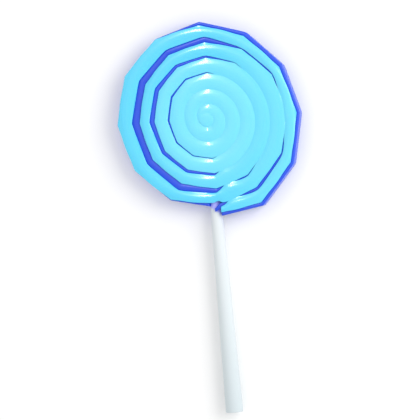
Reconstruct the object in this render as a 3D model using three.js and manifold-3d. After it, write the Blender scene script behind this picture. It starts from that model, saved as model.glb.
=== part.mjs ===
// A swirl lollipop lying on its back. A cyan hard-candy rope is wound into a flat spiral with
// twelve soft bends in a turn. A thin deep-blue strand runs along the rope's outer side, so it
// shows on the rim and in the grooves, and dies out towards the middle. A white stick that
// widens to its free end is pushed in at the bottom, beside the rope's loose outer end.
//
// Millimetres, +Z up. The origin is the middle of the swirl, on the plane that it lies on. The
// shown face looks up, and the stick points to -Y. Places along the winding are counted in
// bends: 0 is over the stick at the loose outer end, 12 is one turn further in. A turn passes
// +X at 3, +Y at 6 and -X at 9.

import * as THREE from "three";
import { mergeVertices } from "three/addons/utils/BufferGeometryUtils.js";
import Module from "manifold-3d";

// ---- Driving dimensions ----

const GAP = 0.32; // room left between neighbouring solids
const BENDS_PER_TURN = 12;
const PITCH = 5.6; // from one turn to the next
const START_RADIUS = 36.3; // of the spiral at bend 0
const HALF_THICKNESS = 4.2; // of the rope, so the disc is 8.4 thick
const BEND_LENGTH = 1.7; // length of side that a bend takes up on each side of its corner
const NEARLY_ROUND = 0.36; // share of a side above which a bend is drawn with two steps

const OUTER_GROWTH = 0.3; // how much larger the outermost turn is than the spiral
const OFF_CENTRE = 2.2; // how far it sits towards -X
const OVALITY = 0.75; // how much longer it is across its first bend, and shorter a quarter turn on
const END_TUCK = 2.4; // how far its loose end is pressed in
const OUTER_FLAT_SIDE = 0.5; // how far it is flattened on the -X side
const FLAT_SIDE = 1.4; // and the turns inside it
const FLAT_SHARPNESS = 7;
const FLAT_FADE_RADIUS = 12; // inside this radius the flattening fades

const ROPE_START = 0.14; // just beside the stick
const ROPE_END = 74; // curled into the eye
const EYE_RADIUS = 1.8; // the pinched-off inner end of the rope
const CORE_RADIUS = 12.2; // the inner turns are pressed into one piece inside this radius
const CORE_HALF_HEIGHT = 2.3;

const STRAND_START = 0.14;
const STRAND_END = 49;
const STRAND_TOP = 2.9; // height of the blue strand's crest over the middle plane
const STRAND_SUNK = 2.7; // the same where the turns close over it
const STRAND_DIP = 1; // and where the stick shows over it
const STRAND_BOTTOM = 3.6; // its depth under the middle plane
const STRAND_MIN = 0.42; // its least thickness
const RIM_STRAND = 1.2; // its thickness on the rim
const RIM_TUCKED = 0.4; // and where it rolls under, on the -X side
const OPENING = 4.15; // widest opening between turns, at bend 12
const OPENING_LOSS = 0.095; // and what it loses with each bend
const OPENING_SHARPNESS = 1.2;
const END_OPENING = 1.8; // by which the rope's loose end stands off the next turn
const END_OPENING_BENDS = 4; // bends over which it closes

const STICK_TIP = -6.4; // Y of the end inside the candy
const STICK_FOOT = -108; // Y of the free end
const STICK_TIP_RADIUS = 1.8;
const STICK_FOOT_RADIUS = 3.2;
const STICK_CHAMFER = 0.3;
const STICK_SIDES = 24;

const CYAN = 0x7febff;
const DEEP_BLUE = 0x335ae7;
const PAPER_WHITE = 0xe8eef0;

const { lerp, smoothstep } = THREE.MathUtils;
const MIDDLE = HALF_THICKNESS; // Z of the middle plane

// ---- The winding ----

const turnAngle = (bend) => (2 * Math.PI * bend) / BENDS_PER_TURN;

// 1 on the -X side, where the turns lie loosely, and 0 on the +X side, where they press together.
const looseness = (bend) => (1 - Math.sin(turnAngle(bend))) / 2;

const spiralRadius = (bend) => START_RADIUS - (PITCH * bend) / BENDS_PER_TURN;

// How the outermost turn strays from the spiral.
function stray(bend) {
  if (bend >= BENDS_PER_TURN) return 0;
  const oval = OVALITY * Math.cos(2 * turnAngle(bend - 0.5));
  const tuck = bend < 1 ? END_TUCK : 0;
  return OUTER_GROWTH + oval - OFF_CENTRE * Math.sin(turnAngle(bend)) - tuck;
}

// The outer wall of the rope.
function ropeOutside(bend) {
  const radius = spiralRadius(bend);
  const flat = bend < BENDS_PER_TURN ? OUTER_FLAT_SIDE : FLAT_SIDE * Math.min(1, radius / FLAT_FADE_RADIUS);
  return Math.max(radius + stray(bend) - flat * looseness(bend) ** FLAT_SHARPNESS, 0.6);
}

// Width of the opening outside a turn, which the blue strand fills.
function opening(bend) {
  const widest = OPENING - OPENING_LOSS * (bend - BENDS_PER_TURN);
  const open = Math.max(0, widest) * looseness(bend) ** OPENING_SHARPNESS;
  const atEnd = END_OPENING * (1 - smoothstep(bend, BENDS_PER_TURN, BENDS_PER_TURN + END_OPENING_BENDS));
  const least = bend > STRAND_END ? GAP : STRAND_MIN + 2 * GAP;
  return Math.max(open, atEnd, least);
}

// The inner wall of the rope leaves the opening to the next turn in.
function ropeInside(bend) {
  const next = bend + BENDS_PER_TURN;
  return Math.max(ropeOutside(next) + opening(next), 0.3);
}

// Thickness that the blue strand adds outside the outermost turn.
function rimThickness(bend) {
  const tucked = smoothstep(bend, 6, 8) - smoothstep(bend, 10, 12);
  return lerp(RIM_STRAND, RIM_TUCKED, tucked);
}

const strandThickness = (bend) => (bend < BENDS_PER_TURN ? rimThickness(bend) : opening(bend) - 2 * GAP);
const strandInside = (bend) => ropeOutside(bend) + GAP;
const strandOutside = (bend) => strandInside(bend) + strandThickness(bend);

// The strand's crest is high where it shows and sinks where the turns close over it. It dips
// beside the stick, at the end of the first turn.
function strandTop(bend) {
  const shown = smoothstep(strandThickness(bend), STRAND_MIN, 1.1);
  const besideStick = smoothstep(bend, 11.5, 11.8) - smoothstep(bend, 12, 12.1);
  return lerp(lerp(STRAND_SUNK, STRAND_TOP, shown), STRAND_DIP, besideStick);
}

// Corner of a wall at a bend, counted anticlockwise from -Y.
function corner(radiusAt, bend) {
  const angle = turnAngle(bend) - Math.PI / 2;
  const radius = radiusAt(bend);
  return new THREE.Vector2(radius * Math.cos(angle), radius * Math.sin(angle));
}

// Point on a wall's straight side, between two corners.
function sidePoint(radiusAt, place) {
  const from = Math.floor(place);
  return corner(radiusAt, from).lerp(corner(radiusAt, from + 1), place - from);
}

// Share of a side that a soft bend takes up. The small inner turns are nearly round.
function softness(bend) {
  const side = 2 * Math.sin(Math.PI / BENDS_PER_TURN) * Math.max(spiralRadius(bend), 1);
  return Math.min(0.5, BEND_LENGTH / side);
}

// Point on a wall, with its corners rounded.
function wallPoint(radiusAt, place) {
  const bend = Math.round(place);
  const soft = softness(bend);
  const along = (place - bend + soft) / (2 * soft);
  if (along <= 0 || along >= 1) return sidePoint(radiusAt, place);
  const arc = new THREE.QuadraticBezierCurve(
    sidePoint(radiusAt, bend - soft),
    corner(radiusAt, bend),
    sidePoint(radiusAt, bend + soft),
  );
  return arc.getPoint(along);
}

// ---- Sweeps ----

// Stations of a sweep: its two ends, and the start, middle and end of each bend between them.
function stations(start, end) {
  const places = [];
  for (let bend = Math.ceil(start); bend <= Math.floor(end); bend++) {
    const soft = softness(bend);
    if (soft > NEARLY_ROUND) places.push(bend, bend + 0.5);
    else places.push(bend - soft, bend, bend + soft);
  }
  return [start, ...places.filter((place) => place > start && place < end), end];
}

// An extrusion of the section with one step to each station. In the section, x runs from -1 on
// the outer wall to 1 on the inner wall, and y from -1 at the bottom to 1 at the top.
function wound(section, places, { inside, outside, top, bottom }) {
  const steps = places.length - 1;
  const geometry = new THREE.ExtrudeGeometry(new THREE.Shape(section), {
    steps,
    depth: steps,
    bevelEnabled: false,
  });
  const position = geometry.getAttribute("position");
  for (let i = 0; i < position.count; i++) {
    const place = places[Math.round(position.getZ(i))];
    const across = (1 + position.getX(i)) / 2;
    const plan = wallPoint(outside, place).lerp(wallPoint(inside, place), across);
    const rise = position.getY(i);
    const z = MIDDLE + rise * (rise > 0 ? top(place) : bottom(place));
    position.setXYZ(i, plan.x, plan.y, z);
  }
  return geometry;
}

// A section from the half of its outline that has x > 0, counted from the bottom up.
function mirroredSection(half) {
  const right = half.map(([x, y]) => new THREE.Vector2(x, y));
  const left = half.map(([x, y]) => new THREE.Vector2(-x, y)).reverse();
  return [...right, ...left];
}

// ---- Solids ----

// The rope has a flat back that it rests on, upright walls and a round crest.
function ropeGeometry() {
  const section = mirroredSection([
    [0.55, -1],
    [1, -0.6],
    [1, 0.45],
    [0.74, 0.84],
    [0.27, 1],
  ]);
  return wound(section, stations(ROPE_START, ROPE_END), {
    inside: ropeInside,
    outside: ropeOutside,
    top: () => HALF_THICKNESS,
    bottom: () => HALF_THICKNESS,
  });
}

function strandGeometry() {
  const section = mirroredSection([
    [0.45, -1],
    [1, -0.6],
    [1, 0.6],
    [0.5, 1],
  ]);
  return wound(section, stations(STRAND_START, STRAND_END), {
    inside: strandInside,
    outside: strandOutside,
    top: strandTop,
    bottom: () => STRAND_BOTTOM,
  });
}

// A solid turned about the swirl's own axis, from [radius, height] pairs.
function turned(profile, sides) {
  const points = profile.map(([radius, height]) => new THREE.Vector2(radius, height));
  return new THREE.LatheGeometry(points, sides).rotateX(Math.PI / 2);
}

function eyeGeometry() {
  const height = 2 * HALF_THICKNESS;
  return turned(
    [
      [0, 0],
      [EYE_RADIUS * 0.7, 0],
      [EYE_RADIUS, height * 0.12],
      [EYE_RADIUS, height * 0.75],
      [EYE_RADIUS * 0.65, height * 0.94],
      [0, height],
    ],
    BENDS_PER_TURN,
  );
}

// What joins the inner turns, under their crests.
function coreGeometry() {
  return turned(
    [
      [0, MIDDLE - CORE_HALF_HEIGHT],
      [CORE_RADIUS, MIDDLE - CORE_HALF_HEIGHT],
      [CORE_RADIUS, MIDDLE + CORE_HALF_HEIGHT],
      [0, MIDDLE + CORE_HALF_HEIGHT],
    ],
    2 * BENDS_PER_TURN,
  );
}

// The stick, or with room added the hole that it sits in.
function stickGeometry(room = 0) {
  const slope = (STICK_FOOT_RADIUS - STICK_TIP_RADIUS) / (STICK_TIP - STICK_FOOT);
  const tip = STICK_TIP_RADIUS + room;
  const foot = STICK_FOOT_RADIUS + room;
  const profile = [
    [0, STICK_FOOT - room],
    [foot - STICK_CHAMFER, STICK_FOOT - room],
    [foot, STICK_FOOT - room + STICK_CHAMFER],
    [tip + slope * STICK_CHAMFER, STICK_TIP + room - STICK_CHAMFER],
    [tip - STICK_CHAMFER, STICK_TIP + room],
    [0, STICK_TIP + room],
  ];
  const points = profile.map(([radius, y]) => new THREE.Vector2(radius, y));
  return new THREE.LatheGeometry(points, STICK_SIDES).translate(0, 0, MIDDLE);
}

// ---- Cutting and joining ----

const wasm = await Module();
wasm.setup();

function toSolid(geometry) {
  const bare = geometry.clone();
  bare.deleteAttribute("normal");
  bare.deleteAttribute("uv");
  const merged = mergeVertices(bare, 1e-4);
  return new wasm.Manifold(
    new wasm.Mesh({
      numProp: 3,
      vertProperties: merged.getAttribute("position").array,
      triVerts: new Uint32Array(merged.index.array),
    }),
  );
}

function toGeometry(solid) {
  const mesh = solid.getMesh();
  return new THREE.BufferGeometry()
    .setAttribute("position", new THREE.BufferAttribute(mesh.vertProperties, 3))
    .setIndex(new THREE.BufferAttribute(mesh.triVerts, 1));
}

// ---- The lollipop ----

function piece(name, geometry, color, roughness) {
  const mesh = new THREE.Mesh(geometry, new THREE.MeshStandardMaterial({ color, roughness, metalness: 0 }));
  mesh.name = name;
  return mesh;
}

const stickHole = toSolid(stickGeometry(GAP));
const rope = toSolid(ropeGeometry()).add(toSolid(eyeGeometry())).add(toSolid(coreGeometry()));
const strand = toSolid(strandGeometry());

const lollipop = new THREE.Group();
lollipop.name = "lollipop";
lollipop.add(
  piece("candy_rope", toGeometry(rope.subtract(stickHole)), CYAN, 0.15),
  piece("blue_strand", toGeometry(strand.subtract(stickHole)), DEEP_BLUE, 0.2),
  piece("stick", stickGeometry(), PAPER_WHITE, 0.7),
);

export default lollipop;
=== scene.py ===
# %% [markdown]
# # A swirl lollipop
# A swirl lollipop starts as a warm rope of boiled sugar. Its maker pulls the rope thin, lays a
# darker strand along one side, and winds both flat on a slab, from the middle outwards. A rolled
# paper stick is pushed in while the sugar is still soft.
#
# The measured model gives three pieces: the cyan rope, the deep-blue strand and the stick. Here
# each of them gets its finished surface. The measured model says where every piece lies, so the
# first step is to load it and to read the sizes that the later steps need. Z points up from the
# slab, the stick points along -Y, and all sizes in this lesson are in millimetres.

import math

import bpy
from mathutils import Matrix, Vector


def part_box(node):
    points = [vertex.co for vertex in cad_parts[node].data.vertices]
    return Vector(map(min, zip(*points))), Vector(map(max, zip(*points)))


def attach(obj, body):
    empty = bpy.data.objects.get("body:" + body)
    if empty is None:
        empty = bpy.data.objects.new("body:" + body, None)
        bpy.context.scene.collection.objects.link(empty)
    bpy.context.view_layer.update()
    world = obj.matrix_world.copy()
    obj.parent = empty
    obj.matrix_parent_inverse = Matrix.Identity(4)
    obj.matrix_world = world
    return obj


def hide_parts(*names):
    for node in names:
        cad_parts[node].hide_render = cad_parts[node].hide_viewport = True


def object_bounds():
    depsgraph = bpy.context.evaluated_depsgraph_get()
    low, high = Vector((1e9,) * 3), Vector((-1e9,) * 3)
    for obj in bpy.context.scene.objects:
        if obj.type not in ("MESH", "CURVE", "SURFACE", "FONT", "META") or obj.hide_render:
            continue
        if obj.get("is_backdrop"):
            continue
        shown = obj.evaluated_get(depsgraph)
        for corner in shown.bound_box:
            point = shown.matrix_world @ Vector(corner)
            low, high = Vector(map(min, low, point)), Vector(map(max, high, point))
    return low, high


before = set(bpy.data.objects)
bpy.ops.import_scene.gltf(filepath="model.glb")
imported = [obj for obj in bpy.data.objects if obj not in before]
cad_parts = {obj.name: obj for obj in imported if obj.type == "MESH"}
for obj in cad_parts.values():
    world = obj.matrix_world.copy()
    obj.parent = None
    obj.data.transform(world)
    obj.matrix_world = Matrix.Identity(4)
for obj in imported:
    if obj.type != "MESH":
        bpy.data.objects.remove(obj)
cad_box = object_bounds()

MM = 0.001
rope_low, rope_high = (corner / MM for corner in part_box("candy_rope"))
strand_low, _ = (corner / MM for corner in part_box("blue_strand"))
stick_low, stick_high = (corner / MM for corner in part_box("stick"))
MIDDLE = (rope_high.z + rope_low.z) / 2
across, _, thickness = rope_high - rope_low
print(f"swirl {across:.1f} mm across and {thickness:.1f} mm thick")
print(f"stick {stick_high.y - stick_low.y:.1f} mm long")

# %% [markdown]
# ## The winding in numbers
# A warm rope doesn't bend evenly: the hand pushes it round in short straight lengths. Here a turn
# has twelve soft bends, and a place on the winding is counted in bends from the loose outer end.
# An even spiral that is drawn towards -X and pressed flat there gives the rough radius. No hand
# winds evenly, but it errs by habit: it slides a bend along the winding, or swells it outwards,
# at the same places in every inner turn. So one short list of slides and one of swells do for
# all the inner turns. The outermost turn is a little oval, so its bends slid to and fro twice
# round the turn, and it bulges on one side.

# %% Radii of the winding, in millimetres
BENDS_PER_TURN = 12
PITCH = 5.6  # from one turn to the next
START_RADIUS = 36.3  # of the even spiral, at bend 0
LEAST_RADIUS = 0.9  # of the rope's outer wall

# The outermost turn, from the loose end round to the stick.
OUTER_GROWTH = 0.3  # how much larger it is than the spiral
OFF_CENTRE = 2.2  # how far it sits towards -X
OVALITY = 0.75  # how much its radius grows at the oval's ends and shrinks at its sides
OVAL_BEND = 0.5  # the place of one of the oval's ends
END_TUCK = 2.95  # how far its loose end is pressed in
FIRST_TURN_EASE = 0.5  # the share of all this that is left where it meets the next turn
OUTER_FLAT_SIDE = 0.5  # how far it is flattened on the -X side
OUTER_SLIDE = -0.55  # how far its bends slid on average, here back towards the loose end
OUTER_SWAY = 0.85  # how far they slid to and fro
SWAY_BEND = 1.8  # one of the two places where they slid back furthest
BULGE = 1.1  # how far it bulges on one side
BULGE_BEND = 2  # the middle of the bulge

# The inner turns. Both lists run from the stick round, with one number to a bend.
FLAT_SIDE = 1.4  # how far they are flattened on the -X side
FLAT_SHARPNESS = 7  # the higher, the shorter the flat side
FLAT_FADE_RADIUS = 12  # inside this radius the flattening fades
INNER_SLIDES = (1.2, 0.6, 0.2, -0.3, -0.7, -1, -1.7, -1.9, -2, -0.8, 0.7, 1.4)
SLIDE_FADE_RADIUS = 16  # inside this radius the slides fade
INNER_SWELLS = (0.7, 0.9, 0.6, 0.4, 0.2, 0.2, 0.2, 0.2, 0.1, 0, -0.1, 0.1)


def mix(a, b, share):
    return a + (b - a) * share


def turned_by(bend):
    return math.tau * bend / BENDS_PER_TURN


def spiral_radius(bend):
    return START_RADIUS - PITCH * bend / BENDS_PER_TURN


def slid(bend):
    """How far a bend slid along the winding. The two outer bends at the stick did not slide."""
    if bend in (0, BENDS_PER_TURN):
        return 0
    if bend < BENDS_PER_TURN:
        return OUTER_SLIDE - OUTER_SWAY * math.cos(2 * turned_by(bend - SWAY_BEND))
    return INNER_SLIDES[bend % BENDS_PER_TURN]


def swelled(bend):
    """How far a bend was pushed outwards."""
    if bend == BENDS_PER_TURN:
        return 0
    if bend < BENDS_PER_TURN:
        return BULGE * max(0, math.cos(turned_by(bend - BULGE_BEND)))
    return INNER_SWELLS[bend % BENDS_PER_TURN]


def looseness(bend):
    """From 0 on the +X side, where the turns press together, to 1 on the -X side."""
    return (1 - math.sin(turned_by(bend))) / 2


def stray(bend):
    """How far the outermost turn leaves the even spiral."""
    if bend > BENDS_PER_TURN:
        return 0
    oval = OVALITY * math.cos(2 * turned_by(bend - OVAL_BEND))
    tuck = END_TUCK if bend < 1 else 0
    strayed = OUTER_GROWTH + oval - OFF_CENTRE * math.sin(turned_by(bend)) - tuck
    return strayed * (FIRST_TURN_EASE if bend == BENDS_PER_TURN else 1)


def rope_outside(bend):
    """The radius of the rope's outer wall at a bend."""
    radius = spiral_radius(bend)
    inner_flat = FLAT_SIDE * min(1, radius / FLAT_FADE_RADIUS)
    flat = OUTER_FLAT_SIDE if bend < BENDS_PER_TURN else inner_flat
    flattened = radius + stray(bend) - flat * looseness(bend) ** FLAT_SHARPNESS
    return max(flattened + swelled(bend), LEAST_RADIUS)


def corner_turn(bend):
    """The angle at which a corner stands, anticlockwise from -Y."""
    radius = max(spiral_radius(bend), LEAST_RADIUS)
    fade = min(1, radius / SLIDE_FADE_RADIUS) ** 2
    return turned_by(bend) + fade * slid(bend) / radius


for turn in range(3):
    print(f"turn {turn + 1} starts at {rope_outside(turn * BENDS_PER_TURN):.1f} mm from the middle")

# %% [markdown]
# ## Where the strand shows
# The strand fills the opening that each turn leaves to the next one in. On the real sweet it is
# one strip of the same sugar, so it gets wide where the turns are loose and is squeezed to a
# line where they press together. One list gives the width of the opening outside each bend from
# the second turn on, with 0 where the turns melted together. Another one gives the width of the
# thin band on the rim, which rolls under on the -X side.

# %% Openings, and the strand's width on the rim
OPENINGS = (
    *(2, 1.3, 0.8, 0, 0.6, 0.5, 2.2, 2.2, 2.8, 3, 2.7, 2.8),
    *(1.7, 0.5, 0, 0, 0, 0.2, 0.8, 1.2, 1.8, 2, 1.5, 1.2),
    *(0.8, 0, 0, 0, 0, 0, 0.3, 0.5, 0.7, 0.7, 0.5, 0.3),
    0.2,
)
STRAND_LAST_BEND = BENDS_PER_TURN + len(OPENINGS)
MELTED = 0.7  # how far two turns that touch reach into each other
RIM_WIDTHS = (1.3, 1.3, 1.25, 1.2, 1.5, 1.6, 1.3, 0.15, 0.15, 0.15, 0.15, 0.3, 1.3)


def beyond_opening(bend):
    """The radius at which the next turn out begins, outside a bend."""
    number = bend - BENDS_PER_TURN
    opening = OPENINGS[number] if number < len(OPENINGS) else 0
    return rope_outside(bend) + (opening or -MELTED)


def rim_width(bend):
    return mix(RIM_WIDTHS[math.floor(bend)], RIM_WIDTHS[math.floor(bend) + 1], bend % 1)


print(f"widest opening {max(OPENINGS):.1f} mm, strand ends at bend {STRAND_LAST_BEND}")

# %% [markdown]
# ## Modelling a wound piece by hand
# A rope on a winding could be a curve with a bevel, but a curve's radius swells a section in
# height and width together, and this rope keeps its height while its width changes. So it is
# extruded: one end face is pushed from place to place along the winding. Each time it is first
# brought back to the X axis, where "wider" simply means "along X", then resized, and then laid
# between the two points where the rope's walls stand next.

# %% Helpers for work in edit mode


def start_alone():
    """Leaves edit mode and deselects all, because operators act on all that is selected."""
    if bpy.context.object and bpy.context.object.mode == "EDIT":
        bpy.ops.object.mode_set(mode="OBJECT")
    bpy.ops.object.select_all(action="DESELECT")


def select_in(piece, kind, test):
    """Selects the vertices, edges or faces whose corner points, in millimetres, pass the test."""
    bpy.ops.object.mode_set(mode="OBJECT")
    mesh = piece.data
    for part in (*mesh.vertices, *mesh.edges, *mesh.polygons):
        part.select = False
    chosen = {"VERT": mesh.vertices, "EDGE": mesh.edges, "FACE": mesh.polygons}[kind]
    for part in chosen:
        numbers = [part.index] if kind == "VERT" else part.vertices
        part.select = all(test(mesh.vertices[number].co / MM, number) for number in numbers)
    bpy.ops.object.mode_set(mode="EDIT")
    bpy.ops.mesh.select_mode(type=kind)


print("helpers ready: start_alone, select_in")

# %% [markdown]
# ## From a bend to a point
# A section stands at a bend, or at a place on the straight side between two bends. Its wall is
# there at the radius where a line through the middle crosses that straight side. Beside the stick
# the outer wall of the second turn leaves its side: the stick pressed a notch into it, and the
# sugar that it pushed away bulges out next to the notch.

# %% Points on the walls
# Places beside the stick, and how far the wall stands out there.
NEAR_STICK = (
    *((11.88, 0), (12.12, -0.7), (12.16, 0.7)),
    *((12.3, 0.9), (12.5, 0.6), (12.75, 0.3), (13, 0)),
)


def on_side(radius_at, bend):
    """The radius and the angle of a place on a wall that is straight from corner to corner."""
    corner = math.floor(bend)
    before, after = radius_at(corner), radius_at(corner + 1)
    start, end = corner_turn(corner), corner_turn(corner + 1)
    angle = mix(start, end, bend % 1)
    reach = before * math.sin(angle - start) + after * math.sin(end - angle)
    return before * after * math.sin(end - start) / reach, angle


def point_at(radius, angle):
    """The point at an angle that is counted anticlockwise from -Y."""
    return Vector((radius * math.sin(angle), -radius * math.cos(angle)))


def near_stick(bend):
    """How far the outer wall leaves its straight side, near the stick."""
    for (start, low), (end, high) in zip(NEAR_STICK, NEAR_STICK[1:]):
        if start <= bend <= end:
            return mix(low, high, (bend - start) / (end - start))
    return 0


def rope_outer(bend):
    """The radius and the angle of the rope's outer wall."""
    radius, angle = on_side(rope_outside, bend)
    return radius + near_stick(bend), angle


walls = [round(rope_outer(bend)[0], 1) for bend, _ in NEAR_STICK]
print(f"beside the stick the outer wall stands at {walls} mm from the middle")

# %% [markdown]
# ## From section to section
# A section stands between an inner and an outer point, and reaches from a bottom to a top. One
# step of the winding extrudes the end face, picks it up, resizes it, and lays it down at the
# next place. Every side is made in four steps, so that its crest can be swollen to an arc later.

# %% Winding by extrusion
STOPS_PER_SIDE = 4


def stops_between(first, last):
    """Every bend, and evenly spaced places on every side between two bends."""
    stops = range(first * STOPS_PER_SIDE, last * STOPS_PER_SIDE + 1)
    return [stop / STOPS_PER_SIDE for stop in stops]


def swing(angle):
    """Turns the selection anticlockwise about the Z axis. The operator counts clockwise."""
    bpy.ops.transform.rotate(value=-angle, orient_axis="Z", center_override=(0, 0, 0))


def slide(way):
    bpy.ops.transform.translate(value=(way.x * MM, way.y * MM, 0))


def pick_up(section):
    """Brings the selected face from its place to the X axis, with its inner wall on the Z axis."""
    inner, outer, _, _ = section
    slide(-inner)
    swing(-math.atan2(outer.y - inner.y, outer.x - inner.x))


def lay_down(section):
    """Brings the selected face from the X axis to its place."""
    inner, outer, _, _ = section
    swing(math.atan2(outer.y - inner.y, outer.x - inner.x))
    slide(inner)


def resize_section(old, new):
    """Resizes the section on the X axis. A section is (inner point, outer point, bottom, top)."""
    across = (new[1] - new[0]).length / (old[1] - old[0]).length
    upright = (new[3] - new[2]) / (old[3] - old[2])
    bpy.ops.transform.resize(value=(across, 1, upright), center_override=(0, 0, old[2] * MM))
    bpy.ops.transform.translate(value=(0, 0, (new[2] - old[2]) * MM))


def wind_up(piece, stops, section_at):
    """Extrudes the selected face on from the first stop to the last one."""
    for stop, next_stop in zip(stops, stops[1:]):
        bpy.ops.mesh.extrude_region_move()
        pick_up(section_at(stop))
        resize_section(section_at(stop), section_at(next_stop))
        lay_down(section_at(next_stop))
    bpy.ops.mesh.select_all(action="SELECT")
    bpy.ops.mesh.normals_make_consistent(inside=False)
    start_alone()
    print(f"{piece.name} wound from {len(piece.data.vertices)} points")


print(f"a turn is wound in {BENDS_PER_TURN * STOPS_PER_SIDE} steps")

# %% [markdown]
# ## The rope's section
# The end face starts as a plane that stands on edge, as wide as the rope at its loose end and as
# high as its walls. Its top edge is raised into a roof, and a deep bevel on the ridge turns the
# roof into a low crest. A crest that meets the walls at a slope leaves a shallow valley between
# two turns that touch, as on sugar that sank together while it was warm. A round crest would
# leave a dark slit there. Small bevels ease the eaves, and the edges that lay on the slab. Just
# past the stick the maker pinched the outer turns together, so the inner wall closes the opening
# there over a third of a bend, and opens it again over the next half.

# %% Section of the rope
LOOSE_END = 0.135  # where the rope was snipped off, in bends
LAST_BEND = 75
PINCHED_TURNS = 3
PINCH = 0.36  # where the turns are pinched, in bends past the stick
CLOSES_OVER = 0.34  # how many bends before the pinch the opening starts to close
CLOSES_AT_TIP = 0.1  # the same at the loose end, which lies closer to the pinch
OPENS_OVER = 0.45  # how many bends past the pinch it is open again
ROPE_CREST = 0.55  # height of the crest over the walls
ROPE_EAVES = 0.15  # rounding where the crest meets the walls
BACK_ROUNDING = 0.9  # rounding of the edges that lay on the slab
RIDGE_SHARE = 96  # percent of the roof's slopes that the bevel on its ridge takes up
RIDGE_STEPS = 6
INNERMOST = 0.3  # the least radius of the inner wall
HAIR = 0.01  # places that are closer than this count as the same
PINCH_STOPS = [PINCH + turn * BENDS_PER_TURN for turn in range(PINCHED_TURNS + 1)]
NEAR_STICK_STOPS = [bend for bend, _ in NEAR_STICK if bend * STOPS_PER_SIDE % 1]
ROPE_STOPS = sorted([LOOSE_END, *stops_between(0, LAST_BEND)[1:], *PINCH_STOPS, *NEAR_STICK_STOPS])


def rope_inner(bend):
    """The radius and the angle of the inner wall, outside the opening of the next turn in."""
    radius, angle = on_side(beyond_opening, bend + BENDS_PER_TURN)
    past_stick = bend % BENDS_PER_TURN
    before_pinch = (PINCH - past_stick) / (CLOSES_AT_TIP if bend < 1 else CLOSES_OVER)
    beyond_pinch = (past_stick - PINCH) / OPENS_OVER
    pinch = max(0, 1 - max(before_pinch, beyond_pinch))
    if bend > PINCHED_TURNS * BENDS_PER_TURN:
        pinch = 0
    touching = rope_outer(bend + BENDS_PER_TURN)[0] - MELTED
    return max(mix(radius, touching, pinch), INNERMOST), angle


def rope_section(bend):
    """The points on the rope's two walls, its bottom and its top."""
    return point_at(*rope_inner(bend)), point_at(*rope_outer(bend)), rope_low.z, rope_high.z


def bevel_points(piece, test, **settings):
    select_in(piece, "VERT", lambda p, _: test(p))
    bpy.ops.mesh.bevel(affect="VERTICES", **settings)


def stand_up_section(name, section, crest, eaves_rounding, back_rounding):
    """A face on edge at the loose end, with a low crest on top and eased corners."""
    inner, outer, bottom, top = section
    width = (outer - inner).length
    eaves = top - crest
    start_alone()
    bpy.ops.mesh.primitive_plane_add(size=1, rotation=(math.pi / 2, 0, 0), calc_uvs=False)
    piece = bpy.context.object
    piece.name = piece.data.name = name
    bpy.ops.object.transform_apply(location=True, rotation=True, scale=True)
    bpy.ops.object.mode_set(mode="EDIT")
    bpy.ops.mesh.select_all(action="SELECT")
    bpy.ops.transform.resize(value=(width * MM, 1, (eaves - bottom) * MM))
    bpy.ops.transform.translate(value=(width / 2 * MM, 0, (eaves + bottom) / 2 * MM))
    select_in(piece, "EDGE", lambda p, _: p.z > eaves - HAIR)
    bpy.ops.mesh.subdivide(number_cuts=1)
    select_in(piece, "VERT", lambda p, _: p.z > eaves - HAIR and HAIR < p.x < width - HAIR)
    # The bevel takes off about half of the roof, so the roof starts at twice the crest's height.
    bpy.ops.transform.translate(value=(0, 0, 2 * crest * MM))
    bevel_points(
        piece,
        lambda p: p.z > eaves + HAIR,
        offset_type="PERCENT",
        offset_pct=RIDGE_SHARE,
        segments=RIDGE_STEPS,
    )
    bevel_points(
        piece,
        lambda p: abs(p.z - eaves) < HAIR and not HAIR < p.x < width - HAIR,
        offset=eaves_rounding * MM,
        segments=1,
    )
    bevel_points(piece, lambda p: p.z < bottom + HAIR, offset=back_rounding * MM, segments=2)
    bpy.ops.mesh.select_mode(type="FACE")
    bpy.ops.mesh.select_all(action="SELECT")
    lay_down(section)
    return piece


rope = stand_up_section(
    "rope_piece", rope_section(LOOSE_END), ROPE_CREST, ROPE_EAVES, BACK_ROUNDING
)
wind_up(rope, ROPE_STOPS, rope_section)

# %% [markdown]
# ## Streaks that follow the rope
# Pulled sugar is full of fine streaks that run along the rope. A material can follow them only
# if the surface knows its own direction, so the rope gets a UV map now, while its points still
# lie in the order in which the sections were extruded: U goes round the section and V along the
# rope, both in millimetres. The bevels and the subdivision that come next carry it along.

# %% UV map of a wound piece
POINT_SPACING = 1.4  # about the distance between two points of a section


def points_per_section(piece, stops):
    return len(piece.data.vertices) // len(stops)


def map_along(piece, stops):
    """Adds the UV map, and returns the piece's length."""
    mesh = piece.data
    section_points = points_per_section(piece, stops)
    uv_map = mesh.uv_layers.new(name="along_rope")
    along = [0.0]
    for stop, next_stop in zip(stops, stops[1:]):
        radius, _ = on_side(rope_outside, next_stop)
        along.append(along[-1] + radius * turned_by(next_stop - stop))
    for face in mesh.polygons:
        around = [mesh.loops[i].vertex_index % section_points for i in face.loop_indices]
        wraps = max(around) - min(around) > section_points / 2
        for i, place in zip(face.loop_indices, around):
            section = mesh.loops[i].vertex_index // section_points
            # The last strip round a section ends at its first point, now with the highest U.
            if wraps and place < section_points / 2:
                place += section_points
            uv_map.data[i].uv = (place * POINT_SPACING, along[section])
    return along[-1]


rope_length = map_along(rope, ROPE_STOPS)
print(f"{rope_length:.0f} mm of rope mapped, on {len(rope.data.polygons)} faces")

# %% [markdown]
# ## The crest
# The walls of the rope run straight from bend to bend, but its top was smoothed by the palm. So
# the crest is swollen outwards in the middle of each side and drawn in at each bend, which brings
# it close to an arc. A highlight then runs out softly on both sides of a bend, where a straight
# crest would cut it off.

# %% Swell the crest


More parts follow.
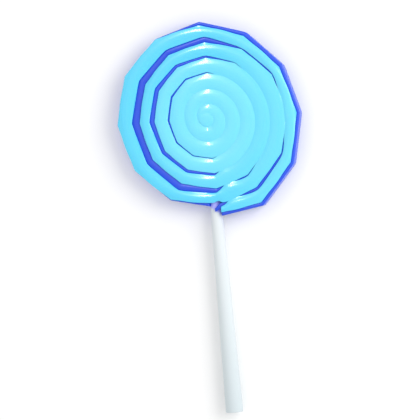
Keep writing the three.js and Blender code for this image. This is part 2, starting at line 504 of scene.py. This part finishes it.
def swell_crest(piece, stops):
    """Resizes the crest about the middle, by where its sections stand between two bends."""
    section_points = points_per_section(piece, stops)
    half_side = math.cos(turned_by(0.5))
    crest_foot = rope_high.z - ROPE_CREST + HAIR
    for place in sorted({round(stop % 1, 3) for stop in stops}):
        arc = (math.cos(turned_by(place - 0.5)) - (1 + half_side) / 2) / half_side
        swell = 1 + arc
        chosen = {section for section, stop in enumerate(stops) if round(stop % 1, 3) == place}
        select_in(piece, "VERT", lambda p, i: p.z > crest_foot and i // section_points in chosen)
        bpy.ops.transform.resize(value=(swell, swell, 1), center_override=(0, 0, 0))
    start_alone()
    return swell


last_swell = swell_crest(rope, ROPE_STOPS)
print(f"next to a bend the crest lies at {last_swell:.3f} of its radius")

# %% [markdown]
# ## The loose end and the soft bends
# The rope's outer end was snipped off beside the stick, and a bevel eases the cut. Then the
# edges across the rope at every bend are bevelled, which softens the bends. A bend takes up the
# same length of rope on every turn but the innermost, whose sides are too short for that. An
# edge's bevel weight says what share of the modifier's full width it gets, so one modifier can do
# all bends.

# %% Ease the loose end and soften the bends
BEND_REACH = 0.3  # the length of rope that a bend takes up on each of its sides
LARGEST_SHARE = 0.4  # the most that it takes of the distance to the next section
CUT_EASING = 0.25  # width of the bevel on the cut


def weigh_bends(piece, stops):
    """Gives the edges at a bend their share of the bevel, which is larger where a side is short."""
    section_points = points_per_section(piece, stops)
    weights = piece.data.attributes.new("bevel_weight_edge", "FLOAT", "EDGE")
    weighed = 0
    for edge, weight in zip(piece.data.edges, weights.data):
        section, other = (number // section_points for number in edge.vertices)
        bend = stops[section]
        if section == other and bend % 1 == 0 and bend != stops[-1]:
            share = BEND_REACH / (rope_outer(bend)[0] * turned_by(1 / STOPS_PER_SIDE))
            weight.value = min(1, share / LARGEST_SHARE)
            weighed += 1
    print(f"{piece.name} has {weighed} edges across its bends")


def ease_loose_end(piece, stops):
    section_points = points_per_section(piece, stops)
    select_in(piece, "EDGE", lambda _, i: i < section_points)
    bpy.ops.mesh.bevel(offset=CUT_EASING * MM, segments=2, affect="EDGES")
    start_alone()


def take(piece):
    """Makes a piece the only selected one, and the active one."""
    start_alone()
    bpy.context.view_layer.objects.active = piece
    piece.select_set(True)


def apply_modifier(piece, kind, **settings):
    take(piece)
    modifier = piece.modifiers.new(kind.lower(), kind)
    for setting, value in settings.items():
        setattr(modifier, setting, value)
    bpy.ops.object.modifier_apply(modifier=modifier.name)


def soften_bends(piece, stops):
    weigh_bends(piece, stops)
    take(piece)
    ease_loose_end(piece, stops)
    apply_modifier(
        piece,
        "BEVEL",
        limit_method="WEIGHT",
        offset_type="PERCENT",
        width_pct=100 * LARGEST_SHARE,
        segments=2,
        use_clamp_overlap=False,
    )
    print(f"{piece.name} has {len(piece.data.polygons)} faces with its bends softened")


soften_bends(rope, ROPE_STOPS)

# %% [markdown]
# ## The eye
# In the middle the warm rope was pinched off and pushed down with a thumb. That button is a
# short cylinder whose upper face is inset three times and raised a little each time, so that it
# bulges. One level of subdivision makes the rope and the button look poured.
#
# Neighbouring turns reach a little into each other, as sugar that melted together does. A real
# sweet has no walls inside, so a union with itself makes the rope one skin, and takes the button
# in as well. The seams stay crisp valleys, because shading is smoothed only where faces meet at
# a small angle.

# %% Close the middle and make the rope one skin
EYE_RADIUS = 3.6
EYE_SIDES = 32
EYE_RINGS = ((1.2, 0.22), (1.1, 0.1), (0.7, 0.03))  # the width of each, and its rise
EYE_TOP = rope_high.z - sum(rise for _, rise in EYE_RINGS)
EYE_BOTTOM = 0.4
SEAM_ANGLE = 28  # in degrees. Seams that turn by more than this are not smoothed


def smooth(piece):
    apply_modifier(piece, "SUBSURF", levels=1, render_levels=1)
    bpy.ops.object.shade_smooth()


start_alone()
bpy.ops.mesh.primitive_cylinder_add(
    vertices=EYE_SIDES,
    radius=EYE_RADIUS * MM,
    depth=(EYE_TOP - EYE_BOTTOM) * MM,
    location=(0, 0, (EYE_TOP + EYE_BOTTOM) / 2 * MM),
    calc_uvs=False,
)
eye = bpy.context.object
bpy.ops.object.transform_apply(location=True, rotation=True, scale=True)
bpy.ops.object.mode_set(mode="EDIT")
select_in(eye, "FACE", lambda p, _: p.z > MIDDLE)
for inset, rise in EYE_RINGS:
    bpy.ops.mesh.inset(thickness=inset * MM)
    bpy.ops.transform.translate(value=(0, 0, rise * MM))
start_alone()
# The button's V runs on from the rope's end, so it takes the streaks and the full painted sheen of
# the middle.
eye_map = eye.data.uv_layers.new(name="along_rope")
for loop in eye.data.loops:
    point = eye.data.vertices[loop.vertex_index].co / MM
    from_middle = math.hypot(point.x, point.y)
    eye_map.data[loop.index].uv = (from_middle, rope_length - from_middle)
smooth(rope)
smooth(eye)
apply_modifier(rope, "BOOLEAN", operation="UNION", object=eye, solver="EXACT", use_self=True)
bpy.data.objects.remove(eye)
take(rope)
bpy.ops.object.shade_smooth_by_angle(angle=math.radians(SEAM_ANGLE))
print(f"{rope.name} is one skin of {len(rope.data.polygons)} faces")

# %% [markdown]
# ## The blue strand
# The strand is wound in the same way, from a low and narrow face that stands between the outer
# wall of one turn and the inner wall of the next one out. Its crest stays a little under the
# rope's, so it lies in the groove like a filling. Where the turns close over it, it thins to a
# thread. At the stick it dips under the paper, and comes up again over the paper's far edge,
# where it swings outwards for a moment before the rope's loose end takes it in.

# %% Wind the strand
STRAND_TOP = 3.3  # height of its crest over the middle plane
STRAND_DIP = -1.0  # the same under the stick
STRAND_CREST = 0.3  # height of the crest over the walls
STRAND_EAVES = 0.3
STRAND_BACK = 0.4
FUSED = 0.05  # how far it reaches into the rope
THINNEST = 0.1
UNDER_STICK = (11.9, 11.98)  # from where to where it is under the stick, in bends
OVER_STICK = (11.875, 12.0)  # the last place before that and the first one after it
STRAND_SWING = 2.0  # how far its inner side swings out past the stick, its outer side half of it
SWING_BENDS = 0.15  # over how many bends it swings back, and twice as many on its outer side
STRAND_STOPS = sorted(
    {
        LOOSE_END,
        *stops_between(0, STRAND_LAST_BEND)[1:],
        *PINCH_STOPS,
        *NEAR_STICK_STOPS,
        *UNDER_STICK,
        *OVER_STICK,
    }
)


def strand_walls(bend):
    """The radii of the strand's two walls, and their angle."""
    radius, angle = on_side(rope_outside, bend)
    inside = radius + max(0, near_stick(bend)) - FUSED
    if bend < BENDS_PER_TURN:
        return inside, inside + rim_width(bend), angle
    past_stick = bend - BENDS_PER_TURN
    swing_inside = STRAND_SWING * max(0, 1 - past_stick / SWING_BENDS)
    swing_outside = STRAND_SWING / 2 * max(0, 1 - past_stick / (2 * SWING_BENDS))
    outside = max(rope_inner(past_stick)[0] + FUSED, inside + THINNEST)
    return inside + swing_inside, outside + swing_outside, angle


def strand_section(bend):
    inside, outside, angle = strand_walls(bend)
    under_stick = UNDER_STICK[0] <= bend <= UNDER_STICK[1]
    top = MIDDLE + (STRAND_DIP if under_stick else STRAND_TOP)
    return point_at(inside, angle), point_at(outside, angle), strand_low.z, top


strand = stand_up_section(
    "strand_piece", strand_section(LOOSE_END), STRAND_CREST, STRAND_EAVES, STRAND_BACK
)
wind_up(strand, STRAND_STOPS, strand_section)
strand_length = map_along(strand, STRAND_STOPS)
soften_bends(strand, STRAND_STOPS)
smooth(strand)
print(f"{strand.name} is {strand_length:.0f} mm long and has {len(strand.data.polygons)} faces")

# %% [markdown]
# ## The stick
# The stick is white paper, rolled tight from a sheet that tapers, so it is thicker at its free
# end. It could be a curve with two radii, but its foot needs edges and rings, so it starts as a
# cylinder. Resizing one end gives the taper, a bevel breaks the cut edges, and insets that step in
# and out by turns give the foot the rings of its rolled layers.

# %% Model the stick
STICK_SIDES = 64
TIP_RADIUS = 1.8  # at the end inside the sugar
END_EASING = 0.25
LAYERS = 5
LAYER_WIDTH = 0.5
LAYER_STEP = 0.12  # how far every second layer stands in
CRISP_ANGLE = 40  # in degrees. Edges that turn by more than this are not smoothed
foot_radius = stick_high.x
stick_length = stick_high.y - stick_low.y

start_alone()
bpy.ops.mesh.primitive_cylinder_add(
    vertices=STICK_SIDES,
    radius=foot_radius * MM,
    depth=stick_length * MM,
    location=(0, (stick_low.y + stick_high.y) / 2 * MM, MIDDLE * MM),
    rotation=(math.pi / 2, 0, 0),
    calc_uvs=False,
)
stick = bpy.context.object
stick.name = stick.data.name = "stick_piece"
bpy.ops.object.transform_apply(location=True, rotation=True, scale=True)
bpy.ops.object.mode_set(mode="EDIT")
select_in(stick, "VERT", lambda p, _: p.y > stick_high.y - HAIR)
narrowing = TIP_RADIUS / foot_radius
bpy.ops.transform.resize(
    value=(narrowing, 1, narrowing), center_override=(0, stick_high.y * MM, MIDDLE * MM)
)
for end in (stick_high.y, stick_low.y):
    select_in(stick, "EDGE", lambda p, _: abs(p.y - end) < HAIR)
    bpy.ops.mesh.bevel(offset=END_EASING * MM, segments=3, affect="EDGES")
select_in(stick, "FACE", lambda p, _: p.y < stick_low.y + HAIR)
for layer in range(LAYERS):
    bpy.ops.mesh.inset(thickness=LAYER_WIDTH * MM)
    step = LAYER_STEP if layer % 2 == 0 else -LAYER_STEP
    bpy.ops.mesh.extrude_region_move(TRANSFORM_OT_translate={"value": (0, step * MM, 0)})
start_alone()
take(stick)
bpy.ops.object.shade_smooth_by_angle(angle=math.radians(CRISP_ANGLE))
print(f"stick {stick.dimensions.y / MM:.1f} mm long, {stick.dimensions.x / MM:.1f} mm at its foot")

# %% [markdown]
# ## Materials
# Two materials cover the sweet: pulled boiled sugar, in two colours, and rolled paper. Each is a
# small net of nodes, and every net begins with a place on the piece and ends in one shader. A
# helper turns hex colours to the linear values that a shader reads, and another adds one node
# with its settings and links, so that a net reads from top to bottom like a recipe. A number
# that is the same all over a surface sits on the shader's own socket.

# %% Helpers for materials


def srgb(code):
    """A hex colour such as 7febff as the linear values that a shader reads."""
    channels = [int(code[i : i + 2], 16) / 255 for i in (0, 2, 4)]
    return [c / 12.92 if c <= 0.04045 else ((c + 0.055) / 1.055) ** 2.4 for c in channels] + [1]


def new_material(name):
    material = bpy.data.materials.new(name)
    material.use_nodes = True
    material.node_tree.nodes.clear()
    return material


def add_node(material, kind, inputs=None, **settings):
    """Adds a node, sets it up, and fills its inputs with values or with links from other nodes."""
    node = material.node_tree.nodes.new(kind)
    for setting, value in settings.items():
        setattr(node, setting, value)
    for name, value in (inputs or {}).items():
        if isinstance(value, bpy.types.NodeSocket):
            material.node_tree.links.new(value, node.inputs[name])
        else:
            node.inputs[name].default_value = value
    return node


def finish_with(piece, material, node):
    """Gives a piece its material, and lets it stand for a node of the measured model."""
    piece.data.materials.clear()
    piece.data.materials.append(material)
    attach(piece, "root")
    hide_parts(node)
    nets = len(material.node_tree.nodes)
    print(f"{piece.name} replaces {node}, in {material.name} with {nets} nodes")


print("linear value of mid grey:", round(srgb("808080")[0], 3))

# %% [markdown]
# ## Boiled sugar
# Boiled sugar is a clear glass. Pulling it folds in air, as long fine streaks, and these turn it
# satiny, milky and paler the longer it is pulled. So the colour comes from noise that is
# stretched along the rope, between a deep and a pale tone. On top of that, light is painted into
# the colour: a painted sheen makes it paler towards the middle, and painted light makes it paler
# towards +X. The same noise makes the roughness and a very low relief. A little light passes
# under the skin, and a thin clear glaze on top gives the small sharp highlights. The dark strand
# was pulled far less: deeper, and with less glaze.

# %% Pulled sugar in two colours
# Painted sheen and painted light: the colour is painted paler along the rope towards the middle,
# and towards +X.
PAINTED_SHEEN_FROM = 300  # along the rope from its loose end
PAINTED_SHEEN_FULL_AT = 500
PAINTED_SHEEN_SHARE = 0.7  # the share of the pale tone there
PAINTED_LIGHT_SIDE = (0, 25)  # from where to where along X it grows paler too
PAINTED_LIGHT_SIDE_SHARE = 0.4
STREAK_SHARE = 0.35  # how far the streaks alone change the tone
STREAK_TONES = (0.3, 0.7)  # the range of the noise that counts for the roughness
SATIN = (0.38, 0.46)  # the roughness of the smoothest streak and of the dullest
# These are coarser than real streaks, so that they can be seen.
STREAK_WIDTH = 0.9
STREAK_LENGTH = 20
STREAK_HEIGHT = 0.02


def boiled_sugar(name, pale, deep, glaze):
    """Pulled sugar: streaks along the rope, a satin body and a thin clear glaze."""
    material = new_material(name)
    uv = add_node(material, "ShaderNodeUVMap", uv_map="along_rope")
    stretched = add_node(
        material,
        "ShaderNodeMapping",
        {"Vector": uv.outputs["UV"], "Scale": (1 / STREAK_WIDTH, 1 / STREAK_LENGTH, 1)},
    )
    streaks = add_node(
        material,
        "ShaderNodeTexNoise",
        {"Vector": stretched.outputs["Vector"], "Scale": 1.0, "Detail": 3.0, "Roughness": 0.6},
    )
    # Painted light: the share of the pale tone grows along the rope towards the middle, as a
    # painted sheen, and across the swirl towards +X, as painted light.
    along = add_node(material, "ShaderNodeSeparateXYZ", {"Vector": uv.outputs["UV"]})
    painted_middle_sheen = add_node(
        material,
        "ShaderNodeMapRange",
        {
            "Value": along.outputs["Y"],
            "From Min": PAINTED_SHEEN_FROM,
            "From Max": PAINTED_SHEEN_FULL_AT,
            "To Max": PAINTED_SHEEN_SHARE,
        },
    )
    place = add_node(material, "ShaderNodeTexCoord")
    axes = add_node(material, "ShaderNodeSeparateXYZ", {"Vector": place.outputs["Object"]})
    painted_side_light = add_node(
        material,
        "ShaderNodeMapRange",
        {
            "Value": axes.outputs["X"],
            "From Min": PAINTED_LIGHT_SIDE[0] * MM,
            "From Max": PAINTED_LIGHT_SIDE[1] * MM,
            "To Max": PAINTED_LIGHT_SIDE_SHARE,
        },
        interpolation_type="SMOOTHSTEP",
    )
    paler = add_node(
        material,
        "ShaderNodeMath",
        {0: painted_middle_sheen.outputs["Result"], 1: painted_side_light.outputs["Result"]},
        operation="MAXIMUM",
    )
    share = add_node(
        material,
        "ShaderNodeMath",
        {0: streaks.outputs["Fac"], 1: STREAK_SHARE, 2: paler.outputs[0]},
        operation="MULTIPLY_ADD",
    )
    colour = add_node(
        material,
        "ShaderNodeMix",
        {"Factor": share.outputs[0], "A": srgb(deep), "B": srgb(pale)},
        data_type="RGBA",
    )
    # Streaks of air dull the surface a little, and stand up from it by a hair.
    satin = add_node(
        material,
        "ShaderNodeMapRange",
        {
            "Value": streaks.outputs["Fac"],
            "From Min": STREAK_TONES[0],
            "From Max": STREAK_TONES[1],
            "To Min": SATIN[0],
            "To Max": SATIN[1],
        },
    )
    relief = add_node(
        material,
        "ShaderNodeBump",
        {"Height": streaks.outputs["Fac"], "Strength": 0.3, "Distance": STREAK_HEIGHT * MM},
    )
    # Sugar glass bends light as window glass does, so its IOR is 1.5. Light goes about 1 mm deep.
    surface = add_node(
        material,
        "ShaderNodeBsdfPrincipled",
        {
            "Base Color": colour.outputs["Result"],
            "Roughness": satin.outputs["Result"],
            "Normal": relief.outputs["Normal"],
            "IOR": 1.5,
            "Specular IOR Level": 0.4,
            "Subsurface Weight": 0.15,
            "Subsurface Radius": (0.5, 0.8, 1.0),
            "Subsurface Scale": 1.0 * MM,
            "Coat Weight": glaze,
            "Coat Roughness": 0.13,
        },
    )
    add_node(material, "ShaderNodeOutputMaterial", {"Surface": surface.outputs["BSDF"]})
    return material


# Pulled, cyan boiled sugar: the eye sees a milky satin body with sharp highlights on its crest.
cyan_sugar = boiled_sugar("pulled_sugar_cyan", pale="71daf6", deep="4accf1", glaze=0.6)
# Hardly pulled, deep-blue boiled sugar: a saturated line with a soft and dull sheen.
blue_sugar = boiled_sugar("pulled_sugar_deep_blue", pale="2058e4", deep="1246d4", glaze=0.2)
finish_with(rope, cyan_sugar, "candy_rope")
finish_with(strand, blue_sugar, "blue_strand")

# %% [markdown]
# ## Rolled paper
# The stick is bleached paper that was wound wet with glue and dried hard. To the eye it is a matt
# off-white with fine fibres along it. Three things vary: painted shade makes it slightly greyer
# towards its foot, a blue-tinted shade and blue bounced light are painted into it where it enters
# the sugar, and its fibres give it a faint grain. The painted shade at the sugar needs an edge that
# is slanted and frayed, so a slanted gradient is shifted by noise before it is sharpened.

# %% Paper with painted shade at the candy
# Painted shade: a blue-tinted shade is painted on the paper where it enters the sugar. It is full
# nearer to the candy than the first of these places along Y, and gone past the second.
PAINTED_SHADE_FULL = -32.6  # along Y, and the stain has its full colour nearer to the candy
PAINTED_SHADE_END = -33.9
PAINTED_SHADE_SLOPE = 0.8  # how much its edge leans, in millimetres of Y to one of X
PAINTED_SHADE_FRAY = 0.8  # how far its edge is shifted
SHADE_FRAY_SIZE = 1.1  # and over what distance
PAPER_ROUGHNESS = (0.65, 0.75)  # between fibres, and on them
# These are coarser than real fibres, so that they can be seen.
FIBRE_WIDTH = 0.35
FIBRE_LENGTH = 6
FIBRE_HEIGHT = 0.03

# Rolled and glued white paper: matt, with a hint of long grain and no highlight.
rolled_paper = new_material("rolled_paper_white")
place = add_node(rolled_paper, "ShaderNodeTexCoord")
axes = add_node(rolled_paper, "ShaderNodeSeparateXYZ", {"Vector": place.outputs["Object"]})
# Painted shade: the paper is painted slightly greyer towards its foot.
painted_foot_shade = add_node(
    rolled_paper,
    "ShaderNodeMapRange",
    {
        "Value": axes.outputs["Y"],
        "From Min": stick_low.y * MM,
        "From Max": PAINTED_SHADE_END * MM,
        "To Min": 1,
        "To Max": 0,
    },
)
paper = add_node(
    rolled_paper,
    "ShaderNodeMix",
    {"Factor": painted_foot_shade.outputs["Result"], "A": srgb("dce2e4"), "B": srgb("cbd6da")},
    data_type="RGBA",
)
# Painted shade and blue bounced light where the stick enters the sugar: a slanted edge, frayed by
# noise and then sharpened.
slanted = add_node(
    rolled_paper,
    "ShaderNodeMath",
    {0: axes.outputs["X"], 1: PAINTED_SHADE_SLOPE, 2: axes.outputs["Y"]},
    operation="MULTIPLY_ADD",
)
shade_edge_noise = add_node(
    rolled_paper,
    "ShaderNodeTexNoise",
    {"Vector": place.outputs["Object"], "Scale": 1 / (SHADE_FRAY_SIZE * MM)},
)
frayed = add_node(
    rolled_paper,
    "ShaderNodeMath",
    {0: shade_edge_noise.outputs["Fac"], 1: PAINTED_SHADE_FRAY * MM, 2: slanted.outputs[0]},
    operation="MULTIPLY_ADD",
)
sugar_shade = add_node(
    rolled_paper,
    "ShaderNodeMapRange",
    {"Value": frayed.outputs[0], "From Min": PAINTED_SHADE_END * MM, "From Max": PAINTED_SHADE_FULL * MM},
    interpolation_type="SMOOTHSTEP",
)
paper_with_sugar_shade = add_node(
    rolled_paper,
    "ShaderNodeMix",
    {"Factor": sugar_shade.outputs["Result"], "A": paper.outputs["Result"], "B": srgb("b6b4f8")},
    data_type="RGBA",
)
drawn_out = add_node(
    rolled_paper,
    "ShaderNodeMapping",
    {
        "Vector": place.outputs["Object"],
        "Scale": [1 / (size * MM) for size in (FIBRE_WIDTH, FIBRE_LENGTH, FIBRE_WIDTH)],
    },
)
fibres = add_node(
    rolled_paper,
    "ShaderNodeTexNoise",
    {"Vector": drawn_out.outputs["Vector"], "Scale": 1.0, "Detail": 4.0},
)
fibre_relief = add_node(
    rolled_paper,
    "ShaderNodeBump",
    {"Height": fibres.outputs["Fac"], "Strength": 0.4, "Distance": FIBRE_HEIGHT * MM},
)
paper_roughness = add_node(
    rolled_paper,
    "ShaderNodeMapRange",
    {
        "Value": fibres.outputs["Fac"],
        "To Min": PAPER_ROUGHNESS[0],
        "To Max": PAPER_ROUGHNESS[1],
    },
)
paper_surface = add_node(
    rolled_paper,
    "ShaderNodeBsdfPrincipled",
    {
        "Base Color": paper_with_sugar_shade.outputs["Result"],
        "Roughness": paper_roughness.outputs["Result"],
        "Specular IOR Level": 0.3,
        "Normal": fibre_relief.outputs["Normal"],
    },
)
add_node(rolled_paper, "ShaderNodeOutputMaterial", {"Surface": paper_surface.outputs["BSDF"]})
finish_with(stick, rolled_paper, "stick")

# %% [markdown]
# ## Floor and light
# The sweet lies flat on a plain white board, in a bright and almost shadowless studio. Even light
# comes from all sides. A long narrow lamp above the top of the swirl draws the sharp highlights
# across the crests, and a wide card on the +X side adds a faint sheen. Both are switched off for
# diffuse light, so that they shine only in reflections and leave no second shadow. A large side
# lamp rounds the stick.

# %% The board
FLOOR_SIZE = 3  # in metres
FLOOR_DROP = 0.1  # just enough that the candy's back doesn't lie in the board

start_alone()
bpy.ops.mesh.primitive_plane_add(size=FLOOR_SIZE, location=(0, 0, -FLOOR_DROP * MM))
floor = bpy.context.object
floor.name = "floor"
# Coated white board: matt and even, so that nothing on it draws the eye.
matt_board = new_material("matt_white_board")
board_surface = add_node(
    matt_board, "ShaderNodeBsdfPrincipled", {"Base Color": srgb("f8f8f8"), "Roughness": 0.9}
)
add_node(matt_board, "ShaderNodeOutputMaterial", {"Surface": board_surface.outputs["BSDF"]})
floor.data.materials.append(matt_board)
floor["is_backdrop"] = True
print(f"a board of {FLOOR_SIZE} m, {FLOOR_DROP} mm under the sweet")

# %% The lamps
DAYLIGHT = 0.9

scene = bpy.context.scene
scene.view_settings.view_transform = "Standard"
world = bpy.data.worlds.new("studio")
scene.world = world
world.use_nodes = True
background = world.node_tree.nodes["Background"]
background.inputs["Color"].default_value = (1, 1, 1, 1)
background.inputs["Strength"].default_value = DAYLIGHT


def facing(location, back, upright):
    """The placement of a lamp or camera that looks away from "back", with Y near "upright"."""
    right = Vector(upright).cross(back).normalized()
    turned = Matrix((right, back.cross(right), back)).transposed()
    return Matrix.Translation(location) @ turned.to_4x4()


def area_light(name, location, aim, size, watts, upright=(0, 0, 1)):
    """A lamp with its size and place in metres."""
    lamp = bpy.data.lights.new(name, "AREA")
    lamp.shape = "RECTANGLE"
    lamp.size, lamp.size_y = size
    lamp.energy = watts
    holder = bpy.data.objects.new(name, lamp)
    scene.collection.objects.link(holder)
    holder.matrix_world = facing(location, (Vector(location) - Vector(aim)).normalized(), upright)
    print(f"{name}: {watts} W, {size[0]} x {size[1]} m")
    return holder


crest_light = area_light(
    "crest_light",
    location=(-0.103, 0.274, 0.557),
    aim=(0, 0, 0),
    size=(0.042, 0.2),
    watts=1.4,
    upright=(0.02, 1, 0),
)
sheen_card = area_light(
    "sheen_card", location=(0.19, 0.03, 0.35), aim=(0.19, 0.03, 0), size=(0.44, 0.4), watts=1.0
)
area_light(
    "side_light", location=(0.45, 0.12, 0.4), aim=(0, -0.03, 0), size=(0.4, 0.4), watts=1.8
)
for card in (crest_light, sheen_card):
    card.visible_diffuse = False

# %% [markdown]
# ## Camera
# The camera looks down on the sweet from a little to the +X side, which shows the strand on the
# rim there. It leans slightly, so the stick points a little to the right. A long lens from nearly
# a metre away keeps the swirl free of perspective.

# %% Place the camera
CAMERA_YAW = math.radians(10)
CAMERA_LEAN = math.radians(5.24)
AIM = Vector((-2.4, -33.3, MIDDLE)) * MM
FRAME_WIDTH = 154.35 * MM

lens = bpy.data.cameras.new("camera")
lens.lens = 200
camera = bpy.data.objects.new("camera", lens)
scene.collection.objects.link(camera)
scene.camera = camera
back = Vector((math.sin(CAMERA_YAW), 0, math.cos(CAMERA_YAW)))
upright = (math.sin(CAMERA_LEAN), math.cos(CAMERA_LEAN), 0)
distance = FRAME_WIDTH * lens.lens / lens.sensor_width
camera.matrix_world = facing(AIM + back * distance, back, upright)
lens.clip_start, lens.clip_end = 0.01, 10
print(f"camera {distance:.2f} m from the sweet, frame {FRAME_WIDTH / MM:.0f} mm wide")

# %% [markdown]
# ## The size
# Blender may dress the measured model, but it doesn't change its size. The boxes of both models
# are printed, each as its size in millimetres.

# %% Print the sizes
visual_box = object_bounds()
for name, box in (("measured model", cad_box), ("this model", visual_box)):
    size = [round((high - low) / MM, 1) for low, high in zip(*box)]
    print(f"{name}: {size} mm")
